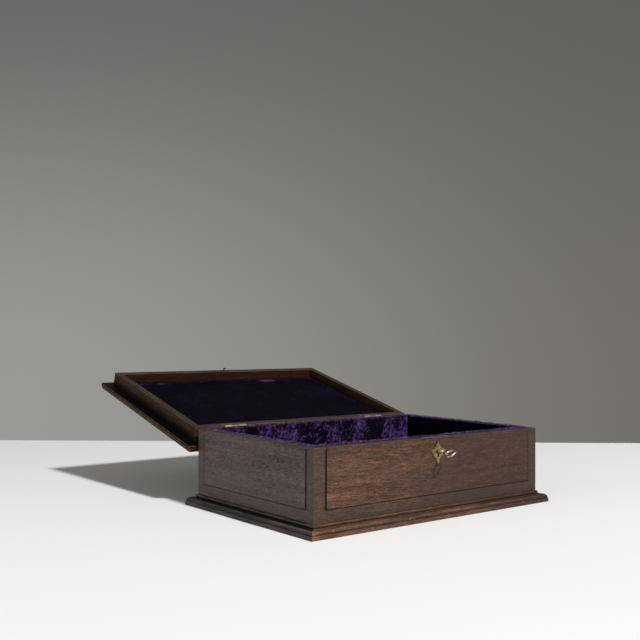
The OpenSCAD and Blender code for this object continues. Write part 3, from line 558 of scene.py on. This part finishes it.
def wall_panel(side, seed):
    """A lining panel: a closed section swept along the wall, then crushed on the side that shows."""
    low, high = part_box("lining_" + side)
    long = 0 if side in ("front", "back") else 1
    across = 1 - long
    inward = 1 if side in ("front", "left") else -1
    length, thick = high[long] - low[long], high[across] - low[across]
    r = thick / 2
    bend_z = high.z - r
    face = [(thick, z) for z in np.arange(low.z, bend_z, UP_STEP)]
    arc = [(r + r * math.cos(a), bend_z + r * math.sin(a)) for a in np.linspace(0, math.pi, 7)]
    back = [(0.0, z) for z in np.linspace(bend_z, low.z, 12)[1:]]
    section = np.array(face + arc + back)
    bpy.ops.object.select_all(action="DESELECT")
    bpy.ops.mesh.primitive_cylinder_add(vertices=len(section), radius=1, depth=2, end_fill_type="NGON")
    panel = bpy.context.object
    panel.name = panel.data.name = "velvet_" + side
    for cuts in (FIRST_CUTS, int(length / ALONG_STEP / (FIRST_CUTS + 1))):
        select_long_edges(panel)
        bpy.ops.mesh.subdivide(number_cuts=cuts)
        bpy.ops.object.mode_set(mode="OBJECT")

    # Each point of the cylinder goes to its place in the section and along the wall
    co = points(panel)
    turn = np.arctan2(co[:, 0], co[:, 1]) / (2 * np.pi)
    index = np.round(turn * len(section)).astype(int) % len(section)
    along = low[long] + (co[:, 2] + 1) / 2 * length
    t, z = section[index, 0], section[index, 1]
    shown = np.clip(t / thick, 0, 1) ** 2
    lean, relief = crushed(along, z * 1.15, seed)
    if side == "right":
        # The right wall's velvet is painted darker, as shade on the wall that faces away from the light
        lean = lean * 0.25
    below = np.clip((bend_z - z) / 0.004, 0, 1)
    push = relief * 0.0007 * shown * below
    z = z + (1 - below) * 0.0009 * gradient_noise(along / 0.0035, t / 0.002, seed + 8)
    out = np.zeros((len(co), 3))
    out[:, long] = along
    out[:, across] = (low[across] + t + push) if inward > 0 else (high[across] - t - push)
    out[:, 2] = z
    move_points(panel, out)
    keep_lean(panel, lean)
    bpy.ops.object.mode_set(mode="EDIT")
    bpy.ops.mesh.select_all(action="SELECT")
    bpy.ops.mesh.normals_make_consistent(inside=False)
    bpy.ops.object.mode_set(mode="OBJECT")
    bpy.ops.object.shade_smooth()
    panel.data.materials.append(wall_velvet)

    # The fringe: tufts round the bend, and over the rim behind it
    rng = np.random.RandomState(seed + 50)
    n = int(length * 1000 * TUFTS_PER_MM)
    angle = rng.uniform(-0.2, math.pi * 0.95, n)
    roots, ways = np.zeros((n, 3)), np.zeros((n, 3))
    roots[:, long] = rng.uniform(low[long], high[long], n)
    middle = low[across] + r if inward > 0 else high[across] - r
    roots[:, across] = middle + inward * r * np.cos(angle)
    roots[:, 2] = bend_z + r * np.sin(angle)
    over = angle > math.pi * 0.6
    roots[over, across] -= inward * rng.uniform(0.0, OVER_RIM, over.sum())
    roots[over, 2] = RIM_Z + 0.0001
    ways[:, across], ways[:, 2] = inward * np.cos(angle), np.sin(angle) + 0.35
    wave = gradient_noise(roots[:, long] / 0.011, roots[:, long] * 0, seed + 9)
    tuft = gradient_noise(roots[:, long] / 0.0035, roots[:, long] * 0, seed + 10)
    tall = PILE_TALL[side] * (1 + 0.5 * wave + 0.5 * tuft)
    if side == "front":
        # The lid's hook comes down here, and the pile is worn short
        hook_low, hook_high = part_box("lid_hook")
        tall[(roots[:, 0] > hook_low.x - 0.002) & (roots[:, 0] < hook_high.x + 0.002)] *= 0.5
    tufts = pile_fringe("velvet_pile_" + side, roots, ways, tall, fringe_velvet_with_sheen, seed)
    for piece in (panel, tufts):
        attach(piece, "case")
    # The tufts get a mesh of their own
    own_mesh(tufts)
    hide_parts("lining_" + side)


for number, side in enumerate(("front", "back", "left", "right")):
    wall_panel(side, SEED + 10 * number)

# Velvet pads: one on the floor of the case and one in the lid
# Velvet stretched over wadding on card. Each is swollen as cloth under light pressure from
# a flat block that is held at its back, then gets the creases of the pressed pile.

PAD_T, PAD_CROWN = 0.0046, 0.0018
PAD_GRID = 0.0028
PAD_PLAY = 0.0006
SWELL_STEPS = 20
PAD_INSET = 0.0093
EDGE_TUFTS = 26


def only(obj):
    """Leaves this object alone selected and active."""
    bpy.ops.object.select_all(action="DESELECT")
    obj.select_set(True)
    bpy.context.view_layer.objects.active = obj


def swollen_pad(name, width, depth, seed):
    """A wadded pad on z = 0, centred, with its show side up, and the lean of its pile."""
    bpy.ops.object.select_all(action="DESELECT")
    bpy.ops.mesh.primitive_cube_add(size=1)
    pad = bpy.context.object
    pad.name = pad.data.name = name
    co = points(pad)
    move_points(pad, co * [width - 2 * PAD_PLAY, depth - 2 * PAD_PLAY, PAD_T] + [0, 0, PAD_T / 2])
    remesh = pad.modifiers.new("remesh", "REMESH")
    remesh.mode, remesh.voxel_size = "VOXEL", PAD_GRID
    only(pad)
    bpy.ops.object.modifier_apply(modifier=remesh.name)
    before = points(pad)
    held = pad.vertex_groups.new(name="back")
    held.add([i for i, p in enumerate(before) if p[2] < PAD_T * 0.35], 1.0, "REPLACE")
    cloth = pad.modifiers.new("cloth", "CLOTH")
    weave = cloth.settings
    weave.quality, weave.mass, weave.air_damping = 5, 0.3, 2.0
    weave.tension_stiffness = weave.compression_stiffness = 8
    weave.bending_stiffness = 0.4
    weave.use_pressure, weave.uniform_pressure_force = True, 4
    weave.vertex_group_mass = "back"
    weave.effector_weights.gravity = 0
    for step in range(1, SWELL_STEPS + 1):
        bpy.context.scene.frame_set(step)
    only(pad)
    bpy.ops.object.modifier_apply(modifier=cloth.name)
    bpy.context.scene.frame_set(1)
    moved = points(pad) - before

    # The wadding gives way to a low crown that thins towards the edges
    lift = PAD_CROWN * np.tanh(np.clip(moved[:, 2], 0, None) / PAD_CROWN)
    room = np.clip((np.array([width, depth]) / 2 - abs(before[:, :2])).min(1) / 0.03, 0, 1)
    after = before.copy()
    after[:, 2] += lift * (0.35 + 0.65 * np.sqrt(room))
    after[:, :2] += np.clip(moved[:, :2], -PAD_PLAY, PAD_PLAY)
    move_points(pad, after)
    bpy.ops.object.mode_set(mode="EDIT")
    bpy.ops.mesh.select_all(action="SELECT")
    bpy.ops.mesh.subdivide(number_cuts=1, smoothness=0.6)
    bpy.ops.object.mode_set(mode="OBJECT")
    co = points(pad)
    lean, relief = crushed(co[:, 0], co[:, 1], seed)
    top = np.clip(co[:, 2] / PAD_T - 0.3, 0, 1)
    co[:, 2] += relief * 0.00055 * top
    move_points(pad, co)
    bpy.ops.object.shade_smooth()
    return pad, lean


def pad_fringe(name, width, depth, mat, seed):
    """Pile that stands out round the edge of a pad."""
    rng = np.random.RandomState(seed)
    n = int((width + depth) * 2000 * EDGE_TUFTS / 2)
    t = rng.uniform(0, 2 * (width + depth), n)
    roots, ways = np.zeros((n, 3)), np.zeros((n, 3))
    for low, span, axis, sign in ((0, width, 1, -1), (width, width, 1, 1), (2 * width, depth, 0, -1),
                                  (2 * width + depth, depth, 0, 1)):
        here = (t >= low) & (t < low + span)
        roots[here, 1 - axis] = t[here] - low - span / 2
        edge = (depth if axis else width) / 2
        roots[here, axis] = sign * (edge - rng.uniform(0.0006, 0.0034, here.sum()))
        ways[here, axis] = sign * 0.25
    roots[:, 2] = PAD_T + 0.0002 - rng.uniform(0.0, 0.0006, n)
    ways[:, 2] = 1
    return pile_fringe(name, roots, ways, np.full(n, 0.0012), mat, seed)


floor_low, floor_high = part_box("lining_floor")
floor_w, floor_d = floor_high.x - floor_low.x, floor_high.y - floor_low.y
pad, lean = swollen_pad("velvet_floor_pad", floor_w, floor_d, SEED + 60)
pad.data.transform(Matrix.Translation((0, 0, floor_low.z)))
keep_lean(pad, lean)
pad.data.materials.append(wall_velvet)
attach(pad, "case")
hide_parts("lining_floor")

lid_velvet = velvet("purple_velvet_lid", (0.0018, 0.0006, 0.0036), (0.10, 0.050, 0.19),
                    0.0, (0.5, 0.38, 0.8), 0.15)
lid_w, lid_d = -2 * SIDE_X - 2 * PAD_INSET, -2 * FRONT_Y - 2 * PAD_INSET
about_hinge = Matrix.Translation(HINGE) @ Matrix.Rotation(-OPEN_ANGLE, 4, "X") @ Matrix.Translation(-HINGE)
open_lid = about_hinge @ Matrix.Translation((0, 0, BOARD_Z)) @ Matrix.Rotation(math.pi, 4, "X")
pad, lean = swollen_pad("velvet_lid_pad", lid_w, lid_d, SEED + 70)

# Its pile is brightest along the rails, at one rubbed place and in one corner
co = points(pad)
rim_near = np.exp(-(np.array([lid_w, lid_d]) / 2 - abs(co[:, :2])).min(1) / 0.007)
rubbed = np.exp(-((co[:, 0] - 0.074) / 0.015) ** 4 - ((co[:, 1] - 0.095) / 0.007) ** 2)
corner = np.exp(-((co[:, 0] + 0.13) / 0.045) ** 2 - ((co[:, 1] - 0.098) / 0.022) ** 2)
keep_lean(pad, 0.04 + 0.36 * lean + 0.65 * rim_near * lean + 0.9 * rubbed + 0.35 * corner * lean)
pad.data.transform(open_lid)
pad.data.materials.append(lid_velvet)
tufts = pad_fringe("velvet_pile_lid", lid_w, lid_d, lid_velvet, SEED + 71)
tufts.data.transform(open_lid)
for piece in (pad, tufts):
    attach(piece, "lid")
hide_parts("lid_lining")

# Camera, at the photograph's angle
# Fitted to the corners of the carcase, the plinth and the lid.

CAM_AT = Vector((-0.7517, -0.8559, 0.2082))
CAM_YAW, CAM_PITCH, CAM_ROLL = (math.radians(a) for a in (-38.185, 0.81, 0.264))
FOCAL_PX, PHOTO_PX, SENSOR = 924.0, 640, 36
ahead = Vector((-math.sin(CAM_YAW) * math.cos(CAM_PITCH), math.cos(CAM_YAW) * math.cos(CAM_PITCH),
                math.sin(CAM_PITCH)))
level = Vector((math.cos(CAM_YAW), math.sin(CAM_YAW), 0))
upward = level.cross(ahead)
cam_x = level * math.cos(CAM_ROLL) + upward * math.sin(CAM_ROLL)
cam_y = upward * math.cos(CAM_ROLL) - level * math.sin(CAM_ROLL)
camera = bpy.data.objects.new("camera", bpy.data.cameras.new("camera"))
bpy.context.scene.collection.objects.link(camera)
camera.data.sensor_width = SENSOR
camera.data.lens = FOCAL_PX / PHOTO_PX * SENSOR
camera.data.clip_start, camera.data.clip_end = 0.05, 30
camera.matrix_world = Matrix.Translation(CAM_AT) @ Matrix((cam_x, cam_y, -ahead)).transposed().to_4x4()
bpy.context.scene.camera = camera

# Stage: white table, a wall that glows with painted light, one soft key light and a weak fill
# The table ends behind the box and the wall stands beyond it, its glow painted darker towards
# its top and its right. The key light is in front of the box, halfway up the sky.

TABLE_W, TABLE_D, TABLE_END, TABLE_Z = 8.0, 6.0, 1.775, -0.00005
WALL_W, WALL_H, WALL_AT = 9, 7, 3.0
LIT_POINT = Vector((0, 0.05, 0.06))


def stage_sheet(name, cells, width, height):
    """A flat sheet round the origin, facing up."""
    bpy.ops.object.select_all(action="DESELECT")
    bpy.ops.mesh.primitive_grid_add(x_subdivisions=cells, y_subdivisions=cells, size=1)
    sheet = bpy.context.object
    sheet.name = name
    sheet.data.transform(Matrix.Diagonal((width, height, 1, 1)))
    return sheet


table = stage_sheet("stage_table", 8, TABLE_W, TABLE_D)
table.data.transform(Matrix.Translation((0, TABLE_END - TABLE_D / 2, 0)))
table.data.transform(Matrix.Translation((CAM_AT.x, CAM_AT.y, TABLE_Z)) @ Matrix.Rotation(CAM_YAW, 4, "Z"))
table_white, tree, bsdf = shader("table_white")
bsdf.inputs["Roughness"].default_value = 0.75
bsdf.inputs["Specular IOR Level"].default_value = 0.2
cloud = noise(tree, add(tree, "TexCoord").outputs["Object"], 3, 2.0)
tree.links.new(mix(tree, cloud, (0.80, 0.80, 0.80), (0.82, 0.82, 0.82)), bsdf.inputs["Base Color"])
table.data.materials.append(table_white)

wall = stage_sheet("stage_wall", 4, WALL_W, WALL_H)
wall.data.transform(Matrix.Rotation(math.pi / 2, 4, "X"))
wall.data.transform(Matrix.Translation((0, WALL_AT, 1.0)))
wall.data.transform(Matrix.Translation((CAM_AT.x, CAM_AT.y, 0)) @ Matrix.Rotation(CAM_YAW, 4, "Z"))
wall_painted_light = bpy.data.materials.new("wall_painted_light")
wall_painted_light.use_nodes = True
tree = wall_painted_light.node_tree
tree.nodes.clear()
from_camera = add(tree, "Mapping", {"vector_type": "TEXTURE"},
                  {"Vector": add(tree, "TexCoord").outputs["Object"], "Location": tuple(CAM_AT),
                   "Rotation": (0, 0, CAM_YAW)}).outputs[0]
part = add(tree, "SeparateXYZ", None, {0: from_camera}).outputs
rightward = ramp(tree, part[0], -1.0, 1.2)
low_tone = mix(tree, rightward, (0.320, 0.315, 0.298), (0.172, 0.162, 0.147))
top_tone = mix(tree, rightward, (0.140, 0.138, 0.132), (0.122, 0.119, 0.112))
tone = mix(tree, ramp(tree, part[2], -0.204, 1.247), low_tone, top_tone)
# The wall is no lamp: its glow and its fall-off are painted light
glow = add(tree, "Emission", None, {"Color": tone, "Strength": 1.0})
# Seen from behind, the wall lets the view through
behind = add(tree, "NewGeometry").outputs["Backfacing"]
clear = add(tree, "BsdfTransparent")
one_sided = add(tree, "MixShader", None, {0: behind, 1: glow.outputs[0], 2: clear.outputs[0]})
add(tree, "OutputMaterial", None, {"Surface": one_sided.outputs[0]})
wall.data.materials.append(wall_painted_light)

world = bpy.data.worlds.new("studio")
bpy.context.scene.world = world
world.use_nodes = True
world.node_tree.nodes["Background"].inputs["Color"].default_value = (1.0, 0.93, 0.88, 1)
world.node_tree.nodes["Background"].inputs["Strength"].default_value = 0.155


def soft_light(name, azimuth, elevation, distance, size, watts, colour):
    """An area light aimed at the box. Azimuth 0 is in front of it and 90 to its right."""
    a, e = math.radians(azimuth), math.radians(elevation)
    way = Vector((math.sin(a) * math.cos(e), -math.cos(a) * math.cos(e), math.sin(e)))
    lamp = bpy.data.objects.new(name, bpy.data.lights.new(name, "AREA"))
    bpy.context.scene.collection.objects.link(lamp)
    lamp.data.shape, lamp.data.size, lamp.data.energy, lamp.data.color = "DISK", size, watts, colour
    turned = way.to_track_quat("Z", "Y").to_matrix().to_4x4()
    lamp.matrix_world = Matrix.Translation(LIT_POINT + way * distance) @ turned


soft_light("key", 4, 45, 6.0, 0.6, 424, (1, 0.995, 0.99))
soft_light("fill", -85, 14, 2.4, 1.4, 17, (1, 0.96, 0.92))

bpy.context.scene.view_settings.view_transform = "Standard"
